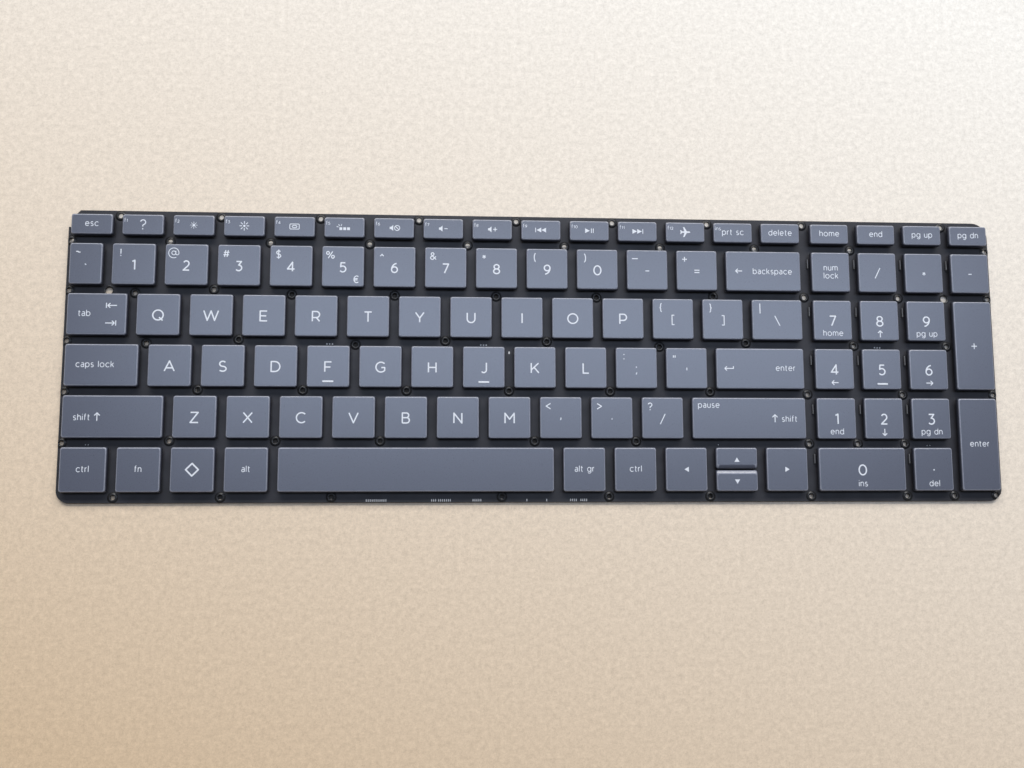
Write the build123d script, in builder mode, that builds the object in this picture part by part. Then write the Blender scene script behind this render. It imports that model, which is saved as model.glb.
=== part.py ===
from build123d import *
import os
from math import asin, atan, cos, degrees, pi, sqrt
from typing import NamedTuple

# Laptop replacement keyboard with a number pad, lying flat on its back.
# The origin is the centre of the underside. X runs to the right, Y towards the function row, Z up.
# All sizes are in millimetres.

# Key grid, measured on the keycaps' top faces
key_pitch_x = 18.7
key_pitch_y = 18.4
key_gap_x = 3.5
key_gap_y = 3.4
function_row_depth = 7.4
bottom_row_depth = 15.7
grave_width = 11.5
backspace_width = 28.3
control_width = 16.0
pad_key_width = 14.5
block_gap = 4.4
arrow_gap = 0.8

# Stagger of the letter rows, in key pitches, each against the row above it
tab_stagger = 0.5
caps_stagger = 0.25
shift_stagger = 0.5

# Keycaps
key_travel = 1.5
cap_skirt = 1.8
cap_top = 0.7
cap_wall = 0.7
cap_flare = 0.25
cap_corner = 0.6
arrow_slope = 0.65
homing_bar_width = 4.0
homing_bar_depth = 0.7
homing_bar_height = 0.15
homing_bar_inset = 1.6
press_clearance = 0.1

# Sheets, from the underside up
panel_thickness = 0.5
plate_thickness = 0.4
membrane_thickness = 0.2
side_margin = 2.0
top_margin = 2.2
bottom_margin = 3.8
front_corner_radius = 4.5
rear_corner_radius = 6.0
rear_corner_cut = 3.0
rear_step_depth = 1.0
rear_step_length = 6.3

# Holes for the rivets of the palm rest, and two locating holes
rivet_radius = 0.85
film_clearance = 0.8
locating_radius = 1.3
edge_inset_x = 1.2
edge_inset_y = 1.9
hole_stagger = 0.8
equals_hole_shift = 2.6

# Sides of the many small holes, kept few to hold the mesh light
rivet_sides = 8
film_hole_sides = 6

# Rubber domes
dome_base_radius = 2.6
dome_top_radius = 1.4
dome_sides = 6

# Scissor levers of the two keys beside the space bar
axle_radius = 0.35
axle_height = 0.4
outer_reach = 5.9
inner_reach = 4.4
outer_half_width = 5.6
lever_bar = 0.9
lever_thickness = 0.5
lever_clearance = 0.4
hook_width = 1.2
hook_thickness = 0.3
hook_clearance = 0.06
hook_reach = 0.3
inner_hook_x = 2.2
outer_hook_x = 3.5
window_clearance = 0.25

# Levels
plate_z = panel_thickness
membrane_z = plate_z + plate_thickness
floor_z = membrane_z + membrane_thickness
skirt_z = floor_z + press_clearance + key_travel
top_z = skirt_z + cap_skirt
ceiling_z = top_z - cap_top

# Widths that follow from the grid
key_width = key_pitch_x - key_gap_x
key_depth = key_pitch_y - key_gap_y
main_width = grave_width + key_gap_x + 12 * key_pitch_x + backspace_width
function_key_width = (main_width - 14 * key_gap_x) / 15
tab_width = grave_width + tab_stagger * key_pitch_x
caps_width = tab_width + caps_stagger * key_pitch_x
shift_width = caps_width + shift_stagger * key_pitch_x
pad_left = main_width + block_gap
field_width = pad_left + 4 * pad_key_width + 3 * key_gap_x
row_depths = [function_row_depth, key_depth, key_depth, key_depth, key_depth, bottom_row_depth]
field_depth = sum(row_depths) + 5 * key_gap_y
plate_width = field_width + 2 * side_margin
plate_depth = field_depth + top_margin + bottom_margin
field_left = -field_width / 2
field_rear = plate_depth / 2 - top_margin


class Key(NamedTuple):
    """A keycap's top face, by its left, right, front and rear edges."""

    left: float
    right: float
    front: float
    rear: float

    @property
    def x(self):
        return (self.left + self.right) / 2

    @property
    def y(self):
        return (self.front + self.rear) / 2

    @property
    def width(self):
        return self.right - self.left

    @property
    def depth(self):
        return self.rear - self.front


# Rear and front edges of the six key rows
row_rear = [field_rear - sum(row_depths[:i]) - i * key_gap_y for i in range(6)]
row_front = [row_rear[i] - row_depths[i] for i in range(6)]
keys = {}


def lay_row(row, start, names, width):
    """Lays keys of one width side by side from a distance off the field's left edge."""
    for i, name in enumerate(names):
        left = field_left + start + i * (width + key_gap_x)
        keys[name] = Key(left, left + width, row_front[row], row_rear[row])


def lay_key(row, name, start, end, last_row=None):
    """Lays one key between two distances off the field's left edge, over one row or two."""
    front = row_front[row if last_row is None else last_row]
    keys[name] = Key(field_left + start, field_left + end, front, row_rear[row])


def pad_column(column):
    """Distance of a number pad column from the field's left edge."""
    return pad_left + column * (pad_key_width + key_gap_x)


function_names = ["esc"] + [f"f{n}" for n in range(1, 13)] + ["prt_sc", "delete"]
number_names = [f"digit_{n}" for n in "1234567890"] + ["minus", "equals"]
bracket_names = ["left_bracket", "right_bracket"]
cluster_names = ["alt_gr", "right_ctrl", "arrow_left", "arrow_up", "arrow_right"]
pad_names = [
    ["home", "end", "pg_up", "pg_dn"],
    ["num_lock", "pad_slash", "pad_star", "pad_minus"],
    ["pad_7", "pad_8", "pad_9"],
    ["pad_4", "pad_5", "pad_6"],
    ["pad_1", "pad_2", "pad_3"],
]

# Main block
lay_row(0, 0, function_names, function_key_width)
lay_key(1, "grave", 0, grave_width)
lay_row(1, grave_width + key_gap_x, number_names, key_width)
lay_key(1, "backspace", main_width - backspace_width, main_width)
lay_key(2, "tab", 0, tab_width)
lay_row(2, tab_width + key_gap_x, list("qwertyuiop") + bracket_names, key_width)
lay_key(2, "backslash", tab_width + key_gap_x + 12 * key_pitch_x, main_width)
lay_key(3, "caps_lock", 0, caps_width)
lay_row(3, caps_width + key_gap_x, list("asdfghjkl") + ["semicolon", "quote"], key_width)
lay_key(3, "enter", caps_width + key_gap_x + 11 * key_pitch_x, main_width)
lay_key(4, "left_shift", 0, shift_width)
lay_row(4, shift_width + key_gap_x, list("zxcvbnm") + ["comma", "period", "slash"], key_width)
lay_key(4, "right_shift", shift_width + key_gap_x + 10 * key_pitch_x, main_width)
lay_key(5, "left_ctrl", 0, control_width)
lay_row(5, control_width + key_gap_x, ["fn", "os", "alt"], key_width)
cluster_left = main_width - 5 * key_pitch_x + key_gap_x
lay_key(5, "space", control_width + key_gap_x + 3 * key_pitch_x, cluster_left - key_gap_x)
lay_row(5, cluster_left, cluster_names, key_width)

# The up and down arrows share one key's place
arrows = keys["arrow_up"]
arrow_depth = (arrows.depth - arrow_gap) / 2
keys["arrow_up"] = arrows._replace(front=arrows.rear - arrow_depth)
keys["arrow_down"] = arrows._replace(rear=arrows.front + arrow_depth)

# Number pad
for row, names in enumerate(pad_names):
    lay_row(row, pad_left, names, pad_key_width)
lay_key(2, "pad_plus", pad_column(3), field_width, last_row=3)
lay_key(4, "pad_enter", pad_column(3), field_width, last_row=5)
lay_key(5, "pad_0", pad_left, pad_column(1) + pad_key_width)
lay_key(5, "pad_dot", pad_column(2), pad_column(2) + pad_key_width)

# Keys that travel by themselves, and the groups that stay put
letters = list("qwertyuiopasdfghjklzxcvbnm")
moving_names = letters + [
    "backspace", "tab", "caps_lock", "enter", "left_shift", "right_shift", "left_ctrl", "fn", "os",
    "alt", "space", "alt_gr", "right_ctrl", "arrow_left", "arrow_up", "arrow_down", "arrow_right",
    "semicolon", "comma", "period", "slash",
]
fixed_groups = {
    "function_row_keycaps": function_names + pad_names[0],
    "number_row_keycaps": ["grave"] + number_names,
    "punctuation_keycaps": bracket_names + ["backslash", "quote"],
    "number_pad_keycaps": sum(pad_names[1:], []) + ["pad_plus", "pad_enter", "pad_0", "pad_dot"],
}
scissor_names = ["alt", "alt_gr"]
homing_names = ["f", "j", "pad_5"]

# Lever angles, up and pressed: each lever spans the height between membrane and keycap
lever_rise = ceiling_z - floor_z - 2 * axle_height
outer_length = 2 * outer_reach
inner_length = 2 * inner_reach
outer_angle = degrees(asin(lever_rise / outer_length))
inner_angle = degrees(asin(lever_rise / inner_length))
outer_pressed_angle = degrees(asin((lever_rise - key_travel) / outer_length))
inner_pressed_angle = degrees(asin((lever_rise - key_travel) / inner_length))
outer_slide_y = outer_length * cos(outer_pressed_angle * pi / 180) - outer_reach
inner_slide_y = inner_length * cos(inner_pressed_angle * pi / 180) - inner_reach
inner_half_width = outer_half_width - lever_bar - lever_clearance


# Places of the holes
def gap_left_of(name):
    """X of the middle of the gap at a key's left side."""
    key = keys[name]
    beside = [k for k in keys.values() if k.rear > key.front and k.front < key.rear]
    neighbours = [k.right for k in beside if k.right <= key.left]
    return (max(neighbours) + key.left) / 2


gap_y = [(row_front[i] + row_rear[i + 1]) / 2 for i in range(5)]
edge_x = plate_width / 2 - edge_inset_x
edge_y = plate_depth / 2 - edge_inset_y

# Rivets in each gap between two rows: the key at whose left side one sits, and which way it is shifted
rear_rivets = ["f1", "f3", "f5", "f7", "f9", "f11", "prt_sc", "home", "pg_dn"]
gap_rivets = [
    [(name, 0) for name in ("f2", "f4", "f6", "f8", "f10", "f12", "delete", "end")],
    [("digit_3", 1), ("pad_7", 0), ("pad_9", 0)] + [(name, -1) for name in "qryip"],
    [(name, 1) for name in ("e", "u", "o", "backslash")]
    + [(name, -1) for name in ("a", "g", "quote")]
    + [("pad_5", 0), ("pad_plus", 0)],
    [(name, 1) for name in ("s", "f", "h", "k", "semicolon", "enter")] + [("pad_4", 0), ("pad_6", 0)],
    [(name, 1) for name in ("z", "c", "b", "comma", "slash")]
    + [("pad_1", 0), ("pad_2", 0), ("pad_3", 0)],
]
front_rivets = ["fn", "alt", "right_ctrl", "arrow_up", "pad_0", "pad_dot", "pad_enter"]

plain_points = [(gap_left_of(name), edge_y) for name in rear_rivets]
for row, holes in enumerate(gap_rivets):
    plain_points += [(gap_left_of(name), gap_y[row] + shift * hole_stagger) for name, shift in holes]
plain_points.append((gap_left_of("backspace") - equals_hole_shift, gap_y[1]))
plain_points += [(gap_left_of(name), -edge_y) for name in front_rivets]
plain_points += [(keys["space"].left + key_pitch_x, -edge_y), (keys["space"].right - key_pitch_x, -edge_y)]
plain_points += [(-edge_x, gap_y[row]) for row in (1, 2, 4)] + [(edge_x, gap_y[1])]
corner_inset = front_corner_radius * (1 - sqrt(0.5)) + edge_inset_x * sqrt(0.5)
plain_points.append((plate_width / 2 - corner_inset, corner_inset - plate_depth / 2))
side_points = [(side * edge_x, gap_y[row]) for side in (-1, 1) for row in (0, 3)]
locating_points = [(gap_left_of("digit_1"), gap_y[1]), (gap_left_of("pad_plus"), gap_y[1])]
film_radius = (rivet_radius + film_clearance) / cos(pi / film_hole_sides)


# Sheets
def sheet_outline():
    """Draws the outline that the sheets share, with the cut and step of the rear left corner."""
    left, rear = -plate_width / 2, plate_depth / 2
    step_y = rear - rear_step_length
    Polygon(
        (left, -rear),
        (-left, -rear),
        (-left, rear),
        (left + rear_step_depth + rear_corner_cut, rear),
        (left + rear_step_depth, rear - rear_corner_cut),
        (left + rear_step_depth, step_y),
        (left, step_y),
        align=None,
    )


def round_corners(sketch):
    """Rounds the two front corners and the rear right one of a sheet's outline."""
    corners = sketch.vertices().group_by(Axis.Y)
    fillet(corners[0], front_corner_radius)
    fillet(sketch.vertices().group_by(Axis.Y)[-1].sort_by(Axis.X)[-1], rear_corner_radius)


with BuildPart() as backlight_panel:
    with BuildSketch() as panel_face:
        sheet_outline()
        round_corners(panel_face)
        with Locations(*plain_points, *side_points, *locating_points):
            RegularPolygon(film_radius, film_hole_sides, mode=Mode.SUBTRACT)
    extrude(amount=panel_thickness)
backlight_panel.part.label = "backlight_panel"


def hook_profile(y, z, side, up, foot):
    """Draws an L-shaped hook round an axle at y, z. The leg stands on the given side of the axle
    and starts at the height foot; the arm lies above the axle, or below it where up is -1."""
    near = axle_radius + hook_clearance
    far = near + hook_thickness
    Polygon(
        (y + side * near, foot),
        (y + side * far, foot),
        (y + side * far, z + up * far),
        (y - side * hook_reach, z + up * far),
        (y - side * hook_reach, z + up * near),
        (y + side * near, z + up * near),
        align=None,
    )


axle_low = floor_z + axle_height
axle_high = ceiling_z - axle_height


def plate_hooks(key):
    """Places of a scissor key's hooks on the plate: x, axle y and the side of the leg."""
    outer = [(key.x + s * outer_hook_x, key.y - outer_reach, -1) for s in (-1, 1)]
    inner = [(key.x + s * inner_hook_x, key.y + inner_slide_y, 1) for s in (-1, 1)]
    return outer + inner


with BuildPart() as base_plate:
    with BuildSketch(Plane.XY.offset(plate_z)) as plate_face:
        sheet_outline()
        round_corners(plate_face)
        with Locations(*plain_points):
            RegularPolygon(rivet_radius, rivet_sides, major_radius=False, mode=Mode.SUBTRACT)
        with Locations(*side_points):
            Circle(rivet_radius, mode=Mode.SUBTRACT)
        with Locations(*locating_points):
            Circle(locating_radius, mode=Mode.SUBTRACT)
    extrude(amount=plate_thickness)
    for name in scissor_names:
        for x, y, side in plate_hooks(keys[name]):
            with BuildSketch(Plane.YZ.offset(x)):
                hook_profile(y, axle_low, side, 1, membrane_z)
            extrude(amount=hook_width / 2, both=True)
base_plate.part.label = "base_plate"

with BuildPart() as membrane:
    with BuildSketch(Plane.XY.offset(membrane_z)) as membrane_face:
        sheet_outline()
        round_corners(membrane_face)
        with Locations(*plain_points, *side_points, *locating_points):
            RegularPolygon(film_radius, film_hole_sides, mode=Mode.SUBTRACT)
        for name in scissor_names:
            for x, y, side in plate_hooks(keys[name]):
                leg_y = y + side * (axle_radius + hook_clearance + hook_thickness / 2)
                with Locations((x, leg_y)):
                    Rectangle(
                        hook_width + 2 * window_clearance,
                        hook_thickness + 2 * window_clearance,
                        mode=Mode.SUBTRACT,
                    )
    extrude(amount=membrane_thickness)
membrane.part.label = "membrane"

dome_height = ceiling_z - floor_z
dome_slope = (dome_base_radius - dome_top_radius) * cos(pi / dome_sides) / dome_height
with BuildPart() as rubber_domes:
    with BuildSketch(Plane.XY.offset(floor_z)):
        with Locations(*[(key.x, key.y) for key in keys.values()]):
            RegularPolygon(dome_base_radius, dome_sides)
    extrude(amount=dome_height, taper=degrees(atan(dome_slope)))
rubber_domes.part.label = "rubber_domes"


# Keycaps
def keycap(name):
    """A hollow keycap whose skirt flares outwards to its foot."""
    key = keys[name]
    with BuildPart() as cap:
        with BuildSketch(Plane((key.x, key.y, skirt_z))) as foot:
            Rectangle(key.width + 2 * cap_flare, key.depth + 2 * cap_flare)
            chamfer(foot.vertices(), cap_corner)
        extrude(amount=cap_skirt, taper=degrees(atan(cap_flare / cap_skirt)))
        if name in ("arrow_up", "arrow_down"):
            top_edges = cap.faces().sort_by(Axis.Z)[-1].edges().sort_by(Axis.Y)
            chamfer(top_edges[0 if name == "arrow_up" else -1], arrow_slope)
        with BuildSketch(Plane((key.x, key.y, skirt_z))):
            Rectangle(key.width - 2 * cap_wall, key.depth - 2 * cap_wall)
        extrude(amount=ceiling_z - skirt_z, mode=Mode.SUBTRACT)
        if name in homing_names:
            bar_y = key.front + homing_bar_inset + homing_bar_depth / 2
            with BuildSketch(Plane((key.x, bar_y, top_z))):
                Rectangle(homing_bar_width, homing_bar_depth)
            extrude(amount=homing_bar_height)
        if name in scissor_names:
            for s in (-1, 1):
                with BuildSketch(Plane.YZ.offset(key.x + s * inner_hook_x)):
                    hook_profile(key.y - inner_reach, axle_high, 1, -1, ceiling_z)
                extrude(amount=hook_width / 2, both=True)
                with BuildSketch(Plane.YZ.offset(key.x + s * outer_hook_x)):
                    hook_profile(key.y + outer_slide_y, axle_high, 1, -1, ceiling_z)
                extrude(amount=hook_width / 2, both=True)
    return cap.part


caps = {name: keycap(name) for name in keys}


# Scissor levers
def lever(pivot, length, angle, half_width):
    """A moulded frame with a round axle at its pivot and a flat bar of the same width at its sliding end.
    It lies rearwards from the pivot at an angle."""
    along = Plane(pivot, x_dir=(1, 0, 0)).rotated((angle, 0, 0))
    with BuildPart() as frame:
        with BuildSketch(along):
            at_pivot = (Align.CENTER, Align.MIN)
            Rectangle(2 * half_width, length + axle_radius, align=at_pivot)
            opening = 2 * (half_width - lever_bar)
            Rectangle(opening, length - axle_radius, align=at_pivot, mode=Mode.SUBTRACT)
        extrude(amount=lever_thickness / 2, both=True)
        with BuildSketch(Plane(pivot, x_dir=(0, 1, 0), z_dir=(1, 0, 0))):
            Circle(axle_radius)
        extrude(amount=half_width, both=True)
    return frame.part


levers = {}
for name in scissor_names:
    key = keys[name]
    levers[f"{name}_outer_lever"] = lever(
        (key.x, key.y - outer_reach, axle_low), outer_length, outer_angle, outer_half_width
    )
    levers[f"{name}_inner_lever"] = lever(
        (key.x, key.y - inner_reach, axle_high), inner_length, -inner_angle, inner_half_width
    )

# Files, one for each sub-part
os.makedirs("parts", exist_ok=True)
for sheet in (backlight_panel, base_plate, membrane, rubber_domes):
    export_step(sheet.part, f"parts/{sheet.part.label}.step")
for name in moving_names:
    caps[name].label = f"{name}_key"
    export_step(caps[name], f"parts/{name}_key.step")
for label, names in fixed_groups.items():
    with BuildPart() as group:
        add([caps[name] for name in names])
    group.part.label = label
    export_step(group.part, f"parts/{label}.step")
for label, part in levers.items():
    part.label = label
    export_step(part, f"parts/{label}.step")
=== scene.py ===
from math import cos, hypot, pi, radians, sin
from typing import NamedTuple

import bmesh
import bpy
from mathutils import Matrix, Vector


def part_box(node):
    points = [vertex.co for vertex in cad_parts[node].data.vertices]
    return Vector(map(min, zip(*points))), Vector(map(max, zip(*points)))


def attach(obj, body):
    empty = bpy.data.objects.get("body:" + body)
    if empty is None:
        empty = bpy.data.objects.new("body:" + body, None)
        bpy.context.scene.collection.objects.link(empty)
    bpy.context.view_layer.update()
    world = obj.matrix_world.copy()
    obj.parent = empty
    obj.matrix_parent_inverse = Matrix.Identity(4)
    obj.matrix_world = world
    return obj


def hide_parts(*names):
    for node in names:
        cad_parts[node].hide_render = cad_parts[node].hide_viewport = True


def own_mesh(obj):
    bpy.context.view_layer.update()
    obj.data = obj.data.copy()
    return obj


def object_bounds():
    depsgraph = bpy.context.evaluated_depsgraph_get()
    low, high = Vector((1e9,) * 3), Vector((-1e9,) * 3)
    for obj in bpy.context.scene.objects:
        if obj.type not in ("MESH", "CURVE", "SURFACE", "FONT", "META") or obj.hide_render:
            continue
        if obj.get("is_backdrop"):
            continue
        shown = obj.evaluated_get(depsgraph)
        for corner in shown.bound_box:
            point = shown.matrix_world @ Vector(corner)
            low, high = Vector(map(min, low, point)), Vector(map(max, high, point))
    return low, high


# Laptop replacement keyboard, lying on paper and seen from above.
# Sizes and places are in millimetres, in the frame of the CAD model, and become metres in Shape.make.
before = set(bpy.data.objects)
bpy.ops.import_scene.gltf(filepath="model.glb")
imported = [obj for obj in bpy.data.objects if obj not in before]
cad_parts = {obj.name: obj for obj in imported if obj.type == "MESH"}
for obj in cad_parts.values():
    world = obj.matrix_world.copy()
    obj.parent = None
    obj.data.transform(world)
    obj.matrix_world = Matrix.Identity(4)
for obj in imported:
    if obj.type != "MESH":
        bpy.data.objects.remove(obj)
cad_low, cad_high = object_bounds()
MM = 0.001

# Keycaps. The arrow values are the run and the drop of the slopes on the up and down arrows.
CAP_FLARE = 0.25
CAP_CORNER = 0.75
CAP_BEVEL = 0.4
CAP_WALL = 0.7
CAP_TOP = 0.7
CORNER_STEPS = 5
BEVEL_STEPS = 3
ARROW_RUN = 0.9
ARROW_DROP = 0.2

# Printed legends
PRINT_HEIGHT = 0.02
PRINT_DEPTH = 0.08
INK_LAYERS = 6
INK_STEP = 0.003
ARC_STEP = 15
SHARP_TURN = radians(50)
JOINT_SIDES = 10
SAME_POINT = 1e-5
LETTER_SPACING = 0.4
WORD_SPACE = 0.35
DOT_HALF = 0.07
FINE_INK = 0.36
SUN_RAYS = 8
DISC_SIDES = 16

# Raised bars for finding the home keys
BAR_WIDTH = 4.0
BAR_DEPTH = 0.7
BAR_INSET = 1.6
BAR_CORNER = 0.2
BAR_SHOULDER = 0.08
BAR_TAPER = 0.1

# Rubber domes
DOME_SIDES = 20
DOME_AIR = 0.04

# Camera, from the corners of the keys in the photograph
CAMERA_PLACE = (-33.71, -52.78, 363.62)
CAMERA_TURN = (6.7227, -3.5648, -0.1535)
CAMERA_LENS = 35.029
CAMERA_SENSOR = 36
CAMERA_NEAR = 10

# Numbers of a keycap's materials; the last is the lighter edge colour, a painted highlight
PLASTIC, INK, HIGHLIGHT_EDGE = range(3)

# Points of a CAD mesh that lie this close are one point
WELD = 0.001


class Box(NamedTuple):
    """The sides of a solid or face seen from above."""

    left: float
    right: float
    front: float
    rear: float

    def grown(self, by):
        return Box(self.left - by, self.right + by, self.front - by, self.rear + by)


def node_levels(node):
    """Lowest and highest level of a CAD node."""
    low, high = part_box(node)
    return low.z / MM, high.z / MM


FLOOR_Z = node_levels("membrane")[1]
SKIRT_Z, TOP_Z = node_levels("space_key")
CAP_TOP_Z = TOP_Z - PRINT_HEIGHT
CEILING_Z = TOP_Z - CAP_TOP
BAR_TOP_Z = node_levels("f_key")[1]


# Meshes
class Shape:
    """Points and faces of a piece. Each face has the number of its material."""

    def __init__(self):
        self.points = []
        self.faces = []
        self.numbers = []
        self.smooth = []
        self.layer = 0

    def ring(self, points):
        """Adds points and gives their numbers."""
        start = len(self.points)
        self.points += points
        return list(range(start, len(self.points)))

    def face(self, corners, number=0, smooth=False):
        self.faces.append(corners)
        self.numbers.append(number)
        self.smooth.append(smooth)

    def bridge(self, first, second, number=0, smooth=False, closed=True):
        """Adds quads between two rings of as many points. number may be a list, with one for each quad."""
        count = len(first)
        for i in range(count if closed else count - 1):
            j = (i + 1) % count
            own_number = number[i] if isinstance(number, list) else number
            self.face((first[i], first[j], second[j], second[i]), own_number, smooth)

    def loft(self, rings, number=0, bands=None):
        """Adds a closed solid through rings of points, from the first one's face to the last one's.
        bands gives the material numbers of the bands between the rings, where they differ from number."""
        numbered = [self.ring(points) for points in rings]
        self.face(numbered[0][::-1], number)
        for i, (first, second) in enumerate(zip(numbered, numbered[1:])):
            self.bridge(first, second, bands[i] if bands else number, smooth=True)
        self.face(numbered[-1], number)

    def prism(self, outline, low, high, number=0):
        """Adds an upright solid on a counter-clockwise outline."""
        bottom = self.ring([(x, y, low) for x, y in outline])
        top = self.ring([(x, y, high) for x, y in outline])
        self.face(bottom[::-1], number)
        self.bridge(bottom, top, number)
        self.face(top, number)

    def make(self, name, body, slot, materials, *nodes):
        """Makes the piece, which rides on a body and stands for CAD nodes."""
        mesh = bpy.data.meshes.new(name)
        mesh.from_pydata([[value * MM for value in point] for point in self.points], [], self.faces)
        mesh.polygons.foreach_set("material_index", self.numbers)
        mesh.polygons.foreach_set("use_smooth", self.smooth)
        for material in materials:
            mesh.materials.append(material)
        piece = bpy.data.objects.new(name, mesh)
        bpy.context.scene.collection.objects.link(piece)
        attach(piece, body)
        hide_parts(*nodes)
        return piece


def circle(x, y, radius, sides):
    """Points of a circle, counter-clockwise."""
    turns = [2 * pi * i / sides for i in range(sides)]
    return [(x + radius * cos(turn), y + radius * sin(turn)) for turn in turns]


def rounded_rectangle(box, radius, steps=CORNER_STEPS):
    """Points of a rounded rectangle, counter-clockwise from its front right corner."""
    corners = [
        (box.right - radius, box.front + radius, -90),
        (box.right - radius, box.rear - radius, 0),
        (box.left + radius, box.rear - radius, 90),
        (box.left + radius, box.front + radius, 180),
    ]
    points = []
    for x, y, start in corners:
        turns = [radians(start + 90 * i / steps) for i in range(steps + 1)]
        points += [(x + radius * cos(turn), y + radius * sin(turn)) for turn in turns]
    return points


def add_block(shape, foot, corner, levels, number=0):
    """Adds a rounded block. levels gives its inset from the foot at each height."""
    rings = [[(x, y, z) for x, y in rounded_rectangle(foot.grown(-inset), corner)] for inset, z in levels]
    shape.loft(rings, number)


def welded_mesh(node):
    """A copy of a CAD node's mesh, in which faces that meet share their points."""
    mesh = bmesh.new()
    mesh.from_mesh(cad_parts[node].data)
    bmesh.ops.remove_doubles(mesh, verts=mesh.verts, dist=WELD * MM)
    return mesh


def connected_groups(items, neighbours):
    """Splits items into groups that hang together. neighbours gives the set of those beside one."""
    left_over = set(items)
    groups = []
    while left_over:
        group = {left_over.pop()}
        search = list(group)
        while search:
            near = neighbours(search.pop()) & left_over
            left_over -= near
            group |= near
            search += near
        groups.append(group)
    return groups


def points_beside(point):
    """Points that share an edge with a point."""
    return {edge.other_vert(point) for edge in point.link_edges}


def solids_of(node):
    """Boxes of the separate solids in a CAD node, row by row from the rear, each row from the left."""
    mesh = welded_mesh(node)
    boxes = []
    for points in connected_groups(mesh.verts, points_beside):
        xs = [point.co.x / MM for point in points]
        ys = [point.co.y / MM for point in points]
        boxes.append(Box(min(xs), max(xs), min(ys), max(ys)))
    mesh.free()
    return sorted(boxes, key=lambda box: (-round(box.rear), box.left))


# Materials
NOISE_LOW, NOISE_HIGH = 0.3, 0.7
PATCH_DETAIL = 4
GRAIN_DETAIL = 2


def add_map_range(tree, value, to, start=(0, 1)):
    """Adds a node that takes a value from the range start to the range to, and gives its output."""
    node = tree.nodes.new("ShaderNodeMapRange")
    for socket, limit in zip(("From Min", "From Max", "To Min", "To Max"), (*start, *to)):
        node.inputs[socket].default_value = limit
    tree.links.new(value, node.inputs["Value"])
    return node.outputs["Result"]


def finish(name, dark, light, patch, rough, grain, depth, **sockets):
    """A material whose colour, roughness and relief come from noise. patch and grain are the sizes of
    the colour patches and of the relief, depth the height of the relief, all in millimetres."""
    made = bpy.data.materials.new(name)
    made.use_nodes = True
    nodes, links = made.node_tree.nodes, made.node_tree.links
    shader = nodes["Principled BSDF"]
    place = nodes.new("ShaderNodeTexCoord").outputs["Object"]

    def noise(size, detail):
        texture = nodes.new("ShaderNodeTexNoise")
        texture.inputs["Scale"].default_value = 1 / (size * MM)
        texture.inputs["Detail"].default_value = detail
        links.new(place, texture.inputs["Vector"])
        return texture.outputs["Fac"]

    patches = noise(patch, PATCH_DETAIL)
    ramp = nodes.new("ShaderNodeValToRGB")
    ramp.color_ramp.elements[0].position = NOISE_LOW
    ramp.color_ramp.elements[0].color = (*dark, 1)
    ramp.color_ramp.elements[1].position = NOISE_HIGH
    ramp.color_ramp.elements[1].color = (*light, 1)
    links.new(patches, ramp.inputs["Fac"])
    links.new(ramp.outputs["Color"], shader.inputs["Base Color"])

    grains = noise(grain, GRAIN_DETAIL)
    links.new(add_map_range(made.node_tree, grains, rough), shader.inputs["Roughness"])

    bump = nodes.new("ShaderNodeBump")
    bump.inputs["Distance"].default_value = depth * MM
    links.new(grains, bump.inputs["Height"])
    links.new(bump.outputs["Normal"], shader.inputs["Normal"])
    for socket, value in sockets.items():
        shader.inputs[socket.replace("_", " ")].default_value = value
    return made


keycap_plastic = finish(
    "keycap_plastic", (0.072, 0.081, 0.115), (0.085, 0.095, 0.135), 0.5, (0.25, 0.33), 0.22, 0.005,
    IOR=1.62, Specular_IOR_Level=1,
)
# The keycaps' rounded top edges are lighter than their faces: a painted highlight
keycap_painted_highlight = finish(
    "keycap_painted_highlight", (0.21, 0.225, 0.28), (0.28, 0.295, 0.35), 0.8, (0.26, 0.36), 0.22, 0.006,
    Specular_IOR_Level=0.85,
)
legend_ink = finish("legend_ink", (0.71, 0.74, 0.8), (0.81, 0.84, 0.89), 0.3, (0.45, 0.6), 0.2, 0.004)
membrane_film = finish(
    "membrane_film", (0.029, 0.029, 0.034), (0.042, 0.042, 0.049), 6, (0.42, 0.55), 1.5, 0.01,
    Specular_IOR_Level=0.3,
)
plate_paint = finish(
    "plate_paint", (0.009, 0.009, 0.011), (0.016, 0.016, 0.018), 2, (0.32, 0.5), 0.3, 0.012
)
eyelet_paint = finish(
    "eyelet_paint", (0.02, 0.02, 0.022), (0.03, 0.03, 0.032), 0.8, (0.25, 0.4), 0.3, 0.006
)
panel_film = finish("panel_film", (0.012, 0.012, 0.014), (0.02, 0.02, 0.023), 4, (0.4, 0.6), 0.4, 0.01)
dome_rubber = finish("dome_rubber", (0.5, 0.51, 0.5), (0.62, 0.63, 0.62), 0.8, (0.4, 0.55), 0.15, 0.006)
lever_plastic = finish(
    "lever_plastic", (0.55, 0.55, 0.52), (0.63, 0.63, 0.6), 1.2, (0.35, 0.5), 0.2, 0.006
)


# Lettering, as lines of ink. A capital and a digit are one unit high, and so is the x of the small letters.
def arc(x, y, across, up, start, end):
    """Points along an ellipse, from one angle in degrees to another."""
    steps = max(2, round(abs(end - start) / ARC_STEP))
    turns = [radians(start + (end - start) * i / steps) for i in range(steps + 1)]
    return [(x + across * cos(turn), y + up * sin(turn)) for turn in turns]


def oval(x, y, across, up):
    """Points of a whole ellipse."""
    return arc(x, y, across, up, 0, 360)


def dot(x, y):
    """A line as short as it is wide, for the usual weight of ink."""
    return [(x, y - DOT_HALF), (x, y + DOT_HALF)]


def half_turned(strokes, width, height):
    """The same lines, turned by half a turn."""
    return [[(width - x, height - y) for x, y in stroke] for stroke in strokes]


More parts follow.
